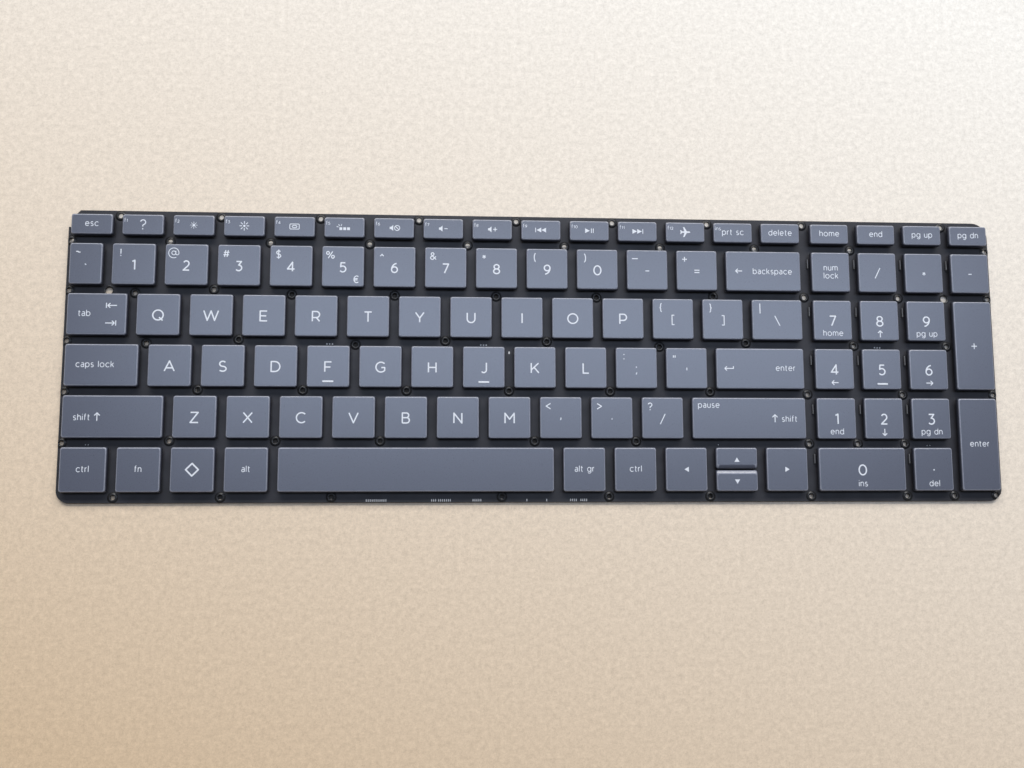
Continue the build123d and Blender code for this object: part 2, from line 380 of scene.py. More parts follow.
SIX = [oval(0.31, 0.31, 0.31, 0.31), arc(0.62, 0.33, 0.62, 0.67, 178, 98)]
ROUND_BRACKET = [arc(0.55, 0.5, 0.5, 0.85, 130, 230)]
CURLY_BRACKET = [
    [(0.3, 1.1), *arc(0.26, 0.92, 0.12, 0.18, 90, 180), (0.14, 0.62), (0, 0.5)],
    [(0, 0.5), (0.14, 0.38), *arc(0.26, 0.08, 0.12, 0.18, 180, 270), (0.3, -0.1)],
]
SQUARE_BRACKET = [[(0.26, 1.02), (0, 1.02), (0, -0.02), (0.26, -0.02)]]

GLYPHS = {
    "A": [[(0, 0), (0.48, 1), (0.96, 0)], [(0.16, 0.31), (0.8, 0.31)]],
    "B": [
        [(0, 0.53), (0.4, 0.53), *arc(0.4, 0.765, 0.235, 0.235, -90, 90), (0, 1), (0, 0)],
        [(0, 0), *arc(0.43, 0.265, 0.27, 0.265, -90, 90), (0.4, 0.53)],
    ],
    "C": [arc(0.5, 0.5, 0.5, 0.5, 45, 315)],
    "D": [[(0, 0), (0, 1), *arc(0.36, 0.5, 0.5, 0.5, 90, -90), (0, 0)]],
    "E": [[(0.68, 1), (0, 1), (0, 0), (0.7, 0)], [(0, 0.51), (0.6, 0.51)]],
    "F": [[(0.65, 1), (0, 1), (0, 0)], [(0, 0.48), (0.56, 0.48)]],
    "G": [[*arc(0.5, 0.5, 0.5, 0.5, 45, 318), (0.88, 0.46), (0.54, 0.46)]],
    "H": [[(0, 0), (0, 1)], [(0.76, 0), (0.76, 1)], [(0, 0.5), (0.76, 0.5)]],
    "I": [[(0, 0), (0, 1)]],
    "J": [[(0.52, 1), *arc(0.25, 0.27, 0.27, 0.27, 0, -140)]],
    "K": [[(0, 0), (0, 1)], [(0.74, 1), (0, 0.3)], [(0.29, 0.57), (0.77, 0)]],
    "L": [[(0, 1), (0, 0), (0.58, 0)]],
    "M": [[(0, 0), (0, 1), (0.46, 0.4), (0.92, 1), (0.92, 0)]],
    "N": [[(0, 0), (0, 1), (0.79, 0), (0.79, 1)]],
    "O": [oval(0.51, 0.5, 0.51, 0.5)],
    "P": [[(0, 0), (0, 1), *arc(0.38, 0.68, 0.31, 0.32, 90, -90), (0, 0.36)]],
    "Q": [oval(0.51, 0.5, 0.51, 0.5), [(0.62, 0.28), (0.98, -0.05)]],
    "R": [[(0, 0), (0, 1), *arc(0.4, 0.69, 0.31, 0.31, 90, -90), (0, 0.38)], [(0.4, 0.38), (0.72, 0)]],
    "S": [[*arc(0.36, 0.745, 0.3, 0.255, 35, 265), *arc(0.36, 0.245, 0.34, 0.245, 88, -145)]],
    "T": [[(0, 1), (0.72, 1)], [(0.36, 1), (0.36, 0)]],
    "U": [[(0, 1), *arc(0.39, 0.37, 0.39, 0.37, 180, 360), (0.78, 1)]],
    "V": [[(0, 1), (0.45, 0), (0.9, 1)]],
    "W": [[(0, 1), (0.36, 0), (0.72, 0.96), (1.08, 0), (1.44, 1)]],
    "X": [[(0, 0), (0.86, 1)], [(0, 1), (0.86, 0)]],
    "Y": [[(0, 1), (0.42, 0.42), (0.84, 1)], [(0.42, 0.42), (0.42, 0)]],
    "Z": [[(0.02, 1), (0.76, 1), (0, 0), (0.78, 0)]],
    "0": [oval(0.38, 0.5, 0.38, 0.5)],
    "1": [[(0, 0.88), (0.26, 1), (0.26, 0)]],
    "2": [[*arc(0.3, 0.7, 0.28, 0.3, 155, -38), (0, 0), (0.62, 0)]],
    "3": [[(0.03, 1), (0.56, 1), (0.28, 0.61), *arc(0.28, 0.305, 0.32, 0.305, 80, -145)]],
    "4": [[(0.52, 0), (0.52, 1), (0, 0.25), (0.74, 0.25)]],
    "5": [[(0.55, 1), (0.1, 1), (0.06, 0.56), *arc(0.28, 0.32, 0.33, 0.32, 115, -145)]],
    "6": SIX,
    "7": [[(0, 1), (0.62, 1), (0.18, 0)]],
    "8": [oval(0.32, 0.76, 0.27, 0.24), oval(0.32, 0.26, 0.32, 0.26)],
    "9": half_turned(SIX, 0.62, 1),
    "a": [
        [*arc(0.34, 0.7, 0.3, 0.3, 140, 0), (0.64, 0)],
        [(0.64, 0.58), *arc(0.3, 0.29, 0.3, 0.29, 80, 280), (0.64, 0.2)],
    ],
    "b": [[(0, 1.42), (0, 0)], oval(0.42, 0.5, 0.42, 0.5)],
    "c": [arc(0.46, 0.5, 0.46, 0.5, 45, 315)],
    "d": [[(0.84, 1.42), (0.84, 0)], oval(0.42, 0.5, 0.42, 0.5)],
    "e": [[(0.02, 0.52), *arc(0.43, 0.5, 0.42, 0.5, 3, 318)]],
    "f": [[(0.14, 0), *arc(0.38, 1.16, 0.24, 0.26, 180, 85)], [(0, 0.96), (0.4, 0.96)]],
    "g": [oval(0.42, 0.5, 0.42, 0.5), [(0.84, 1), *arc(0.44, 0, 0.4, 0.4, 0, -145)]],
    "h": [[(0, 1.42), (0, 0)], [*arc(0.35, 0.62, 0.35, 0.38, 180, 0), (0.7, 0)]],
    "i": [[(0, 0), (0, 1)], dot(0, 1.36)],
    "k": [[(0, 1.42), (0, 0)], [(0.6, 1), (0, 0.36)], [(0.25, 0.62), (0.64, 0)]],
    "l": [[(0, 1.42), (0, 0)]],
    "m": [
        [(0, 0), (0, 1)],
        [*arc(0.31, 0.66, 0.31, 0.34, 180, 0), (0.62, 0)],
        [*arc(0.93, 0.66, 0.31, 0.34, 180, 0), (1.24, 0)],
    ],
    "n": [[(0, 0), (0, 1)], [*arc(0.35, 0.62, 0.35, 0.38, 180, 0), (0.7, 0)]],
    "o": [oval(0.46, 0.5, 0.46, 0.5)],
    "p": [[(0, 1), (0, -0.42)], oval(0.42, 0.5, 0.42, 0.5)],
    "r": [[(0, 0), (0, 1)], arc(0.36, 0.6, 0.36, 0.4, 180, 90)],
    "s": [[*arc(0.29, 0.74, 0.25, 0.26, 35, 265), *arc(0.29, 0.245, 0.28, 0.245, 88, -145)]],
    "t": [[(0.14, 1.3), *arc(0.36, 0.24, 0.22, 0.24, 180, 275)], [(0, 0.96), (0.42, 0.96)]],
    "u": [[(0, 1), *arc(0.35, 0.38, 0.35, 0.38, 180, 360)], [(0.7, 1), (0.7, 0)]],
    "~": [[*arc(0.16, 0.5, 0.16, 0.06, 160, 20), *arc(0.46, 0.5, 0.16, 0.06, 200, 340)]],
    "`": [[(0, 0.56), (0.16, 0.46)]],
    "!": [[(0, 1), (0, 0.28)], dot(0, 0.03)],
    "@": [
        oval(0.62, 0.5, 0.24, 0.24),
        [(0.87, 0.76), *arc(1.02, 0.42, 0.15, 0.16, 180, 280), *arc(0.62, 0.5, 0.62, 0.62, -15, 300)],
    ],
    "#": [
        [(0.18, 0), (0.34, 1)], [(0.54, 0), (0.7, 1)],
        [(0.02, 0.32), (0.8, 0.32)], [(0.08, 0.68), (0.86, 0.68)],
    ],
    "$": [
        [*arc(0.33, 0.745, 0.28, 0.255, 30, 265), *arc(0.33, 0.245, 0.31, 0.245, 88, -145)],
        [(0.34, -0.18), (0.34, 1.18)],
    ],
    "%": [oval(0.2, 0.78, 0.2, 0.22), oval(0.92, 0.22, 0.2, 0.22), [(0.24, 0), (0.88, 1)]],
    "^": [[(0, 0.4), (0.24, 0.68), (0.48, 0.4)]],
    "&": [
        [
            (0.84, 0), (0.16, 0.68), *arc(0.33, 0.8, 0.2, 0.2, 215, -45),
            *arc(0.33, 0.25, 0.3, 0.25, 120, 280), (0.82, 0.46),
        ]
    ],
    "*": [
        [(0.28 - 0.28 * sin(t), 0.5 - 0.28 * cos(t)), (0.28, 0.5)] for t in [0.4 * pi * i for i in range(5)]
    ],
    "(": ROUND_BRACKET,
    ")": half_turned(ROUND_BRACKET, 0.24, 1),
    "{": CURLY_BRACKET,
    "}": half_turned(CURLY_BRACKET, 0.3, 1),
    "[": SQUARE_BRACKET,
    "]": half_turned(SQUARE_BRACKET, 0.26, 1),
    "|": [[(0, -0.25), (0, 1.25)]],
    "\\": [[(0, 1.05), (0.55, -0.05)]],
    "/": [[(0, -0.05), (0.55, 1.05)]],
    "-": [[(0, 0.5), (0.42, 0.5)]],
    "_": [[(0, 0.5), (0.88, 0.5)]],
    "+": [[(0, 0.5), (0.72, 0.5)], [(0.36, 0.14), (0.36, 0.86)]],
    "=": [[(0, 0.64), (0.56, 0.64)], [(0, 0.38), (0.56, 0.38)]],
    ":": [dot(0, 0.15), dot(0, 0.8)],
    ";": [[(-0.03, -0.1), (0.03, 0.12)], dot(0, 0.7)],
    ",": [[(-0.03, 0.36), (0.03, 0.62)]],
    ".": [dot(0, 0.5)],
    "'": [[(0, 0.38), (0, 0.68)]],
    '"': [[(0, 0.38), (0, 0.72)], [(0.26, 0.38), (0.26, 0.72)]],
    "<": [[(0.66, 0.9), (0, 0.5), (0.66, 0.1)]],
    ">": [[(0, 0.9), (0.66, 0.5), (0, 0.1)]],
    "?": [[*arc(0.27, 0.74, 0.27, 0.26, 165, -50), (0.26, 0.42), (0.26, 0.27)], dot(0.26, 0.02)],
    "€": [arc(0.46, 0.5, 0.38, 0.5, 50, 310), [(0, 0.6), (0.62, 0.6)], [(0, 0.4), (0.58, 0.4)]],
}


def rotated(strokes, degrees):
    """Lines or outlines, turned about their centre."""
    across, up = cos(radians(degrees)), sin(radians(degrees))
    return [[(x * across - y * up, x * up + y * across) for x, y in stroke] for stroke in strokes]


class Icon(NamedTuple):
    """A drawing in millimetres about its own centre: lines of ink, and outlines filled with ink."""

    lines: list = []
    fills: list = []

    def turned(self, degrees):
        return Icon(rotated(self.lines, degrees), rotated(self.fills, degrees))


def arrow(length, head):
    """An arrow that points right."""
    tip = length / 2
    return Icon([[(-tip, 0), (tip, 0)], [(tip - head, head), (tip, 0), (tip - head, -head)]])


def speaker(x):
    """An outline of a loudspeaker."""
    upper = [(x + 0.3, 1.12), (x - 0.5, 0.42), (x - 1, 0.42)]
    return [(px, -py) for px, py in upper[::-1]] + upper


def triangle(x, length, half):
    """An outline of a triangle that points right, from its base at x."""
    return [(x, -half), (x + length, 0), (x, half)]


def bar(x, half):
    """An upright line."""
    return [(x, -half), (x, half)]


def square(x, y, half):
    """An outline of a square."""
    return [(x - half, y - half), (x + half, y - half), (x + half, y + half), (x - half, y + half)]


def sun(disc, inner, outer):
    """A disc with rays."""
    turns = [2 * pi / SUN_RAYS * i for i in range(SUN_RAYS)]
    rays = [[(inner * cos(t), inner * sin(t)), (outer * cos(t), outer * sin(t))] for t in turns]
    return Icon(rays, [circle(0, 0, disc, DISC_SIDES)])


half_plane = [
    (1.95, 0), (1.55, 0.28), (0.6, 0.3), (-0.35, 1.9), (-0.85, 1.9), (-0.35, 0.3), (-1.25, 0.25),
    (-1.6, 0.75), (-1.95, 0.75), (-1.75, 0),
]
light_rays = [[(0.75 * cos(t), 0.75 * sin(t)), (1.4 * cos(t), 1.4 * sin(t))] for t in (1.2, 2.0, 2.8)]
small_arrow = arrow(2.5, 0.85)
shift_arrow = arrow(2.8, 0.95).turned(90)
skip_icon = Icon([bar(2, 0.85)], [triangle(-1.9, 1.75, 0.9), triangle(-0.1, 1.75, 0.9)])
function_icons = {
    "f2": sun(0.42, 0.45, 1.35),
    "f3": sun(0.42, 0.8, 1.75),
    "f4": Icon(
        [[*rounded_rectangle(Box(-1.7, 1.7, -0.95, 0.95), 0.3), (1.4, -0.95)], oval(0, 0, 0.85, 0.45)],
    ),
    "f5": Icon(
        [[(x - 1.5, y - 0.2) for x, y in ray] for ray in light_rays],
        [square(x, -0.55, 0.52) for x in (-1.3, 0.1, 1.5)],
    ),
    "f6": Icon([oval(1.15, 0, 0.95, 0.95), [(0.5, 0.65), (1.8, -0.65)]], [speaker(-0.6)]),
    "f7": Icon([[(0.4, 0), (1.6, 0)]], [speaker(-0.6)]),
    "f8": Icon([[(0.3, 0), (1.8, 0)], [(1.05, -0.75), (1.05, 0.75)]], [speaker(-0.6)]),
    "f9": skip_icon.turned(180),
    "f10": Icon([bar(0.75, 0.85), bar(1.45, 0.85)], [triangle(-1.6, 1.75, 0.9)]),
    "f11": skip_icon,
    "f12": Icon([], [half_plane + [(x, -y) for x, y in half_plane[-2:0:-1]]]),
}


class Spot(NamedTuple):
    """A legend's place on a keycap: a share of the way across and up the key, and a distance from there.
    side is the share of the words that lies left of the place. unit and ink size the lettering."""

    across: float = 0.5
    up: float = 0.5
    x: float = 0
    y: float = 0
    side: float = 0.5
    unit: float = 3.4
    ink: float = 0.5


word = Spot(unit=1.5, ink=0.25)
letter_spot = Spot(y=-0.25, unit=3.6)
digit_spot = Spot(y=-0.4)
mark_spot = Spot(across=0, up=1, x=3.0, y=-3.3, unit=2.5, ink=FINE_INK)
euro_spot = mark_spot._replace(across=1, up=0, x=-2.85, y=2.7)
start_spot = word._replace(across=0, x=4.1, side=0)
end_spot = word._replace(across=1, x=-3.4, side=1)
start_icon_spot = word._replace(across=0, x=4.8, ink=FINE_INK)
below_spot = word._replace(up=0, y=2.4)
tiny_spot = Spot(across=0, up=1, x=0.7, y=-2.3, side=0, unit=0.95, ink=0.15)

legends = {name: [(letter_spot, name.upper())] for name in "qwertyuiopasdfghjklzxcvbnm"}
for digit, mark in zip("1234567890", "!@#$%^&*()"):
    legends[f"digit_{digit}"] = [(digit_spot, digit), (mark_spot, mark)]
legends["digit_2"] = [(digit_spot, "2"), (mark_spot._replace(unit=2.95, ink=0.27), "@")]
legends["digit_5"].append((euro_spot, "€"))
for name, (main, mark) in {
    "grave": "`~", "minus": "-_", "equals": "=+", "left_bracket": "[{", "right_bracket": "]}",
    "backslash": "\\|", "semicolon": ";:", "quote": "'\"", "comma": ",<", "period": ".>", "slash": "/?",
}.items():
    legends[name] = [(digit_spot._replace(ink=FINE_INK), main), (mark_spot, mark)]
for name in ("esc", "prt_sc", "delete", "home", "end", "pg_up", "pg_dn", "fn", "alt", "alt_gr"):
    legends[name] = [(word, name.replace("_", " "))]
for name, words in {"left_ctrl": "ctrl", "right_ctrl": "ctrl", "pad_enter": "enter"}.items():
    legends[name] = [(word, words)]
for name, icon in function_icons.items():
    legends[name] = [(word._replace(ink=0.28), icon)]
legends["f2"] = [(word._replace(ink=0.14), function_icons["f2"])]
legends["f1"] = [(Spot(ink=FINE_INK), "?")]
for n in range(1, 13):
    legends[f"f{n}"].append((tiny_spot, f"f{n}"))
legends["prt_sc"].append((tiny_spot, "ins"))
for name, below in {
    "7": "home", "8": small_arrow.turned(90), "9": "pg up", "4": small_arrow.turned(180), "5": "",
    "6": small_arrow, "1": "end", "2": small_arrow.turned(-90), "3": "pg dn", "0": "ins", ".": "del",
}.items():
    below_ink = FINE_INK if isinstance(below, Icon) else below_spot.ink
    legends["pad_dot" if name == "." else f"pad_{name}"] = [
        (letter_spot, name),
        (below_spot._replace(ink=below_ink), below),
    ]
pad_operators = {"slash": ("/", 3.6), "star": ("*", 2.3), "minus": ("-", 3), "plus": ("+", 3)}
for name, (main, unit) in pad_operators.items():
    legends[f"pad_{name}"] = [(letter_spot._replace(unit=unit, ink=0.34), main)]
tab_arrow = Icon([*arrow(3.2, 0.85).lines, bar(2.1, 0.95)])
tab_arrow_spot = word._replace(across=1, ink=FINE_INK)
legends |= {
    "tab": [
        (start_spot, "tab"),
        (tab_arrow_spot._replace(x=-5, y=3.1), tab_arrow.turned(180)),
        (tab_arrow_spot._replace(x=-5.7, y=-3.3), tab_arrow),
    ],
    "caps_lock": [(start_spot, "caps lock")],
    "left_shift": [
        (start_spot._replace(y=-0.5), "shift"),
        (start_icon_spot._replace(x=12.2, y=-0.1), shift_arrow),
    ],
    "right_shift": [
        (end_spot._replace(y=-0.5), "shift"),
        (start_icon_spot._replace(across=1, x=-11.6, y=-0.1), shift_arrow),
        (start_spot._replace(up=1, x=2.2, y=-2.9), "pause"),
    ],
    "enter": [
        (end_spot, "enter"),
        (start_icon_spot, Icon([*arrow(3.4, 0.8).turned(180).lines, [(1.55, 0), (1.55, 0.85)]])),
    ],
    "backspace": [(end_spot._replace(y=-0.3), "backspace"), (start_icon_spot, small_arrow.turned(180))],
    "num_lock": [(word._replace(y=1.4), "num"), (word._replace(y=-1.65), "lock")],
    "os": [(Spot(ink=0.55), Icon([[(2.2, 0), (0, 2.2), (-2.2, 0), (0, -2.2), (2.2, 0)]]))],
    "space": [],
}
for name, degrees, y in (("left", 180, 0), ("right", 0, 0), ("up", 90, -0.6), ("down", -90, -0.35)):
    legends[f"arrow_{name}"] = [(word._replace(y=y), Icon([], [triangle(-0.8, 1.6, 0.95)]).turned(degrees))]


def distance(a, b):
    """How far apart two points are."""
    return hypot(b[0] - a[0], b[1] - a[1])


def ink_top(shape):
    """Level of the next layer of ink. Layers that cross lie at different levels."""
    shape.layer = (shape.layer + 1) % INK_LAYERS
    return TOP_Z - shape.layer * INK_STEP


def add_band(shape, points, width, closed=False):
    """Adds a band of ink along a line without sharp corners."""
    count = len(points)
    sides = {1: [], -1: []}
    for i, (x, y) in enumerate(points):
        before = points[i - 1] if closed or i > 0 else None
        after = points[(i + 1) % count] if closed or i < count - 1 else None
        normals = []
        for a, b in ((before, (x, y)), ((x, y), after)):
            if a and b:
                length = distance(a, b)
                normals.append(Vector(((a[1] - b[1]) / length, (b[0] - a[0]) / length)))
        mitre = (normals[0] + normals[-1]) / (1 + normals[0].dot(normals[-1]))
        for side in sides:
            sides[side].append((x + side * mitre.x * width / 2, y + side * mitre.y * width / 2))
    low, high = CAP_TOP_Z - PRINT_DEPTH, ink_top(shape)
    right_low, right_high, left_low, left_high = [
        shape.ring([(x, y, z) for x, y in sides[side]]) for side in (-1, 1) for z in (low, high)
    ]
    shape.bridge(right_high, left_high, INK, closed=closed)
    shape.bridge(left_low, right_low, INK, closed=closed)
    shape.bridge(right_low, right_high, INK, closed=closed)
    shape.bridge(left_high, left_low, INK, closed=closed)
    if not closed:
        shape.face((right_low[0], right_high[0], left_high[0], left_low[0]), INK)
        shape.face((left_low[-1], left_high[-1], right_high[-1], right_low[-1]), INK)


def add_fill(shape, outline):
    """Adds a patch of ink inside an outline."""
    area = sum(a[0] * b[1] - b[0] * a[1] for a, b in zip(outline, outline[1:] + outline[:1]))
    shape.prism(outline if area > 0 else outline[::-1], CAP_TOP_Z - PRINT_DEPTH, ink_top(shape), INK)


def add_line(shape, points, width):
    """Adds ink along a line, with round joints at its sharp corners."""
    points = points[:1] + [b for a, b in zip(points, points[1:]) if distance(a, b) > SAME_POINT]
    closed = distance(points[0], points[-1]) < SAME_POINT
    parts = [points[:2]]
    for before, corner, after in zip(points, points[1:], points[2:]):
        into, out = Vector(corner) - Vector(before), Vector(after) - Vector(corner)
        if into.angle(out) > SHARP_TURN:
            parts.append([corner])
        parts[-1].append(after)
    if closed and len(parts) == 1:
        add_band(shape, points[:-1], width, closed=True)
        return
    for part in parts:
        add_band(shape, part, width)
    for x, y in [part[0] for part in parts[0 if closed else 1:]]:
        add_fill(shape, circle(x, y, width / 2, JOINT_SIDES))


def glyph_width(character):
    """Width of a character in units."""
    if character == " ":
        return WORD_SPACE
    return max(x for stroke in GLYPHS[character] for x, y in stroke)


def add_words(shape, x, y, spot, words):
    """Adds a line of lettering."""
    widths = [glyph_width(character) for character in words]
    length = sum(widths) + LETTER_SPACING * (len(words) - 1)
    start = x - spot.side * length * spot.unit
    for character, width in zip(words, widths):
        for stroke in GLYPHS.get(character, []):
            points = [(start + px * spot.unit, y + (py - 0.5) * spot.unit) for px, py in stroke]
            add_line(shape, points, spot.ink)
        start += (width + LETTER_SPACING) * spot.unit


def add_legend(shape, name, top):
    """Adds what is printed on a keycap."""
    for spot, content in legends[name]:
        x = top.left + spot.across * (top.right - top.left) + spot.x
        y = top.front + spot.up * (top.rear - top.front) + spot.y
        if isinstance(content, Icon):
            for line in content.lines:
                add_line(shape, [(x + px, y + py) for px, py in line], spot.ink)
            for outline in content.fills:
                add_fill(shape, [(x + px, y + py) for px, py in outline])
        else:
            add_words(shape, x, y, spot, content)


# Keycaps
def add_cap(shape, foot, slope=None):
    """Adds a hollow keycap with rounded top edges. foot is its box at the foot of its skirt.
    slope is front or rear for a cap with a sloped face on that side."""
    middle = (foot.front + foot.rear) / 2

    def bevel_ring(inset, z, share):
        """A ring at a level. share is how far up the bevel it is."""
        points = []
        for x, y in rounded_rectangle(foot.grown(-inset), CAP_CORNER):
            sloped = slope == ("front" if y < middle else "rear")
            inwards = 1 if y < middle else -1
            run, drop = ARROW_RUN * share * sloped, ARROW_DROP * (1 - share) * sloped
            points.append((x, y + inwards * run, z - drop))
        return points

    def wall_ring(inset, z):
        return [(x, y, z) for x, y in rounded_rectangle(foot.grown(-inset), CAP_CORNER)]

    rings = [wall_ring(CAP_FLARE + CAP_WALL, CEILING_Z), wall_ring(CAP_FLARE + CAP_WALL, SKIRT_Z)]
    rings.append(wall_ring(0, SKIRT_Z))
    for step in range(BEVEL_STEPS + 1):
        share = step / BEVEL_STEPS
        turn = share * pi / 2
        inset = CAP_FLARE + CAP_BEVEL * (1 - cos(turn))
        z = CAP_TOP_Z - CAP_BEVEL * (1 - sin(turn))
        rings.append(bevel_ring(inset, z, share))
    # The bevel bands take the painted highlight colour, and so does the down arrow's sloped rear face
    edges = [HIGHLIGHT_EDGE] * len(rings[0])
    if slope == "front":
        edges[-1] = PLASTIC
    shape.loft(rings, PLASTIC, [PLASTIC] * 3 + [edges] * BEVEL_STEPS)


def add_bar(shape, top):
    """Adds the raised bar of a home key."""
    x = (top.left + top.right) / 2
    y = top.front + BAR_INSET + BAR_DEPTH / 2
    foot = Box(x - BAR_WIDTH / 2, x + BAR_WIDTH / 2, y - BAR_DEPTH / 2, y + BAR_DEPTH / 2)
    levels = [(0, CAP_TOP_Z - PRINT_DEPTH), (0, CAP_TOP_Z + BAR_SHOULDER), (BAR_TAPER, BAR_TOP_Z)]
    add_block(shape, foot, BAR_CORNER, levels, INK)


moving_names = list("qwertyuiopasdfghjklzxcvbnm") + [
    "backspace", "tab", "caps_lock", "enter", "left_shift", "right_shift", "left_ctrl", "fn", "os",
    "alt", "space", "alt_gr", "right_ctrl", "arrow_left", "arrow_up", "arrow_down", "arrow_right",
    "semicolon", "comma", "period", "slash",
]
fixed_groups = {
    "function_row_keycaps": ["esc"] + [f"f{n}" for n in range(1, 13)]
    + ["prt_sc", "delete", "home", "end", "pg_up", "pg_dn"],
    "number_row_keycaps": ["grave"] + [f"digit_{n}" for n in "1234567890"] + ["minus", "equals"],
    "punctuation_keycaps": ["left_bracket", "right_bracket", "backslash", "quote"],
    "number_pad_keycaps": ["num_lock", "pad_slash", "pad_star", "pad_minus"]
    + ["pad_7", "pad_8", "pad_9", "pad_plus", "pad_4", "pad_5", "pad_6"]
    + ["pad_1", "pad_2", "pad_3", "pad_enter", "pad_0", "pad_dot"],
}
home_names = ["f", "j", "pad_5"]


def add_key(shape, name, foot):
    """Adds a keycap with its bar and its legend."""
    add_cap(shape, foot, {"arrow_up": "front", "arrow_down": "rear"}.get(name))
    top = foot.grown(-CAP_FLARE)
    if name in home_names:
        add_bar(shape, top)
    add_legend(shape, name, top)


cap_materials = [keycap_plastic, legend_ink, keycap_painted_highlight]
feet = {}
for name in moving_names:
    low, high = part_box(f"{name}_key")
    feet[name] = Box(low.x / MM, high.x / MM, low.y / MM, high.y / MM)
    key = Shape()
    add_key(key, name, feet[name])
    key.make(f"{name}_cap", f"{name}_key", "keycap", cap_materials, f"{name}_key")
for group, names in fixed_groups.items():
    caps = Shape()
    for name, foot in zip(names, solids_of(group)):
        feet[name] = foot
        add_key(caps, name, foot)
    caps.make(f"{group}_printed", "base", "keycap", cap_materials, group)


# Rubber domes. Their profile gives the radius at a share of the height.
dome_height = CEILING_Z - DOME_AIR - FLOOR_Z
dome_profile = [
    (2.6, 0), (2.6, 0.06), (2.3, 0.12), (2.05, 0.3), (1.6, 0.75), (1.4, 0.84), (1.4, 0.97), (1.25, 1),
]


def add_dome(shape, foot):
    """Adds the rubber dome under a keycap."""
    x, y = (foot.left + foot.right) / 2, (foot.front + foot.rear) / 2
    shape.loft(
        [
            [(px, py, FLOOR_Z + dome_height * up) for px, py in circle(x, y, radius, DOME_SIDES)]
            for radius, up in dome_profile
        ]
    )


for name in moving_names:
    dome = Shape()
    add_dome(dome, feet[name])
    piece = dome.make(f"{name}_dome", "base", "dome", [dome_rubber], "rubber_domes")
    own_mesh(piece)
fixed_domes = Shape()
for names in fixed_groups.values():
    for name in names:
        add_dome(fixed_domes, feet[name])
fixed_domes.make("fixed_domes", "base", "dome", [dome_rubber], "rubber_domes")


# Holes of the base plate
HOLE_LIMIT = 3
LOCATING_LIMIT = 1.1
UPRIGHT_LIMIT = 0.5
LEVEL_SLACK = 0.01
RING_SIDES = 28
EYELET_TRIM = 0.02
plate_top_z = node_levels("membrane")[0]


def faces_beside(face):
    """Faces that share an edge with a face."""
    return {other for edge in face.edges for other in edge.link_faces}


def holes_of(node, top):
    """Places and radii of the upright holes in a CAD sheet, whose upper face is at the level top."""
    mesh = welded_mesh(node)
    mesh.normal_update()
    walls = [face for face in mesh.faces if abs(face.normal.z) < UPRIGHT_LIMIT]
    holes = []
    for wall in connected_groups(walls, faces_beside):
        points = [point.co / MM for face in wall for point in face.verts]
        xs, ys, zs = zip(*points)
        if max(xs) - min(xs) < HOLE_LIMIT and max(zs) < top + LEVEL_SLACK:
            radius = (max(xs) - min(xs)) / 2
            holes.append(((min(xs) + max(xs)) / 2, (min(ys) + max(ys)) / 2, radius))
    mesh.free()
    return sorted(holes)


def add_ring(shape, x, y, profile):
    """Adds a turned ring. Its profile runs from the outside over the top to the inside."""
    rings = []
    for radius, z in profile:
        rings.append(shape.ring([(px, py, z) for px, py in circle(x, y, radius, RING_SIDES)]))
    for first, second in zip(rings, rings[1:] + rings[:1]):
        shape.bridge(first, second, smooth=True)


def trim(piece, inset):
    """Cuts off what stands out over the sheets' edges, and closes the cuts."""
    outline = [point.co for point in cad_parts["membrane"].data.vertices]
    mesh = bmesh.new()
    mesh.from_mesh(piece.data)
    for direction in ((1, 0, 0), (-1, 0, 0), (0, 1, 0), (0, -1, 0), (1, -1, 0)):
        outwards = Vector(direction).normalized()
        reach = max(outwards.dot(point) for point in outline) - inset * MM
        everything = mesh.verts[:] + mesh.edges[:] + mesh.faces[:]
        cut = bmesh.ops.bisect_plane(
            mesh, geom=everything, plane_co=outwards * reach, plane_no=outwards, clear_outer=True
        )
        edges = [item for item in cut["geom_cut"] if isinstance(item, bmesh.types.BMEdge)]
        bmesh.ops.holes_fill(mesh, edges=edges)
    mesh.to_mesh(piece.data)
    mesh.free()


# Radius and level along each ring's profile
eyelet_profile = [
    (1.95, FLOOR_Z - 0.02), (1.95, FLOOR_Z + 0.03), (1.48, FLOOR_Z + 0.06), (1.4, FLOOR_Z + 0.17),
    (1.2, FLOOR_Z + 0.25), (0.98, FLOOR_Z + 0.22), (0.82, FLOOR_Z + 0.08), (0.82, plate_top_z - 0.02),
]
flange_profile = [
    (1.95, FLOOR_Z - 0.02), (1.95, FLOOR_Z + 0.03), (1.6, FLOOR_Z + 0.03), (1.45, plate_top_z + 0.04),
    (1.29, plate_top_z + 0.03), (1.29, plate_top_z - 0.02),
]
eyelets = Shape()
for x, y, radius in holes_of("base_plate", plate_top_z):
    add_ring(eyelets, x, y, flange_profile if radius > LOCATING_LIMIT else eyelet_profile)
eyelet_piece = eyelets.make("eyelets", "base", "plate", [eyelet_paint])
trim(eyelet_piece, EYELET_TRIM)


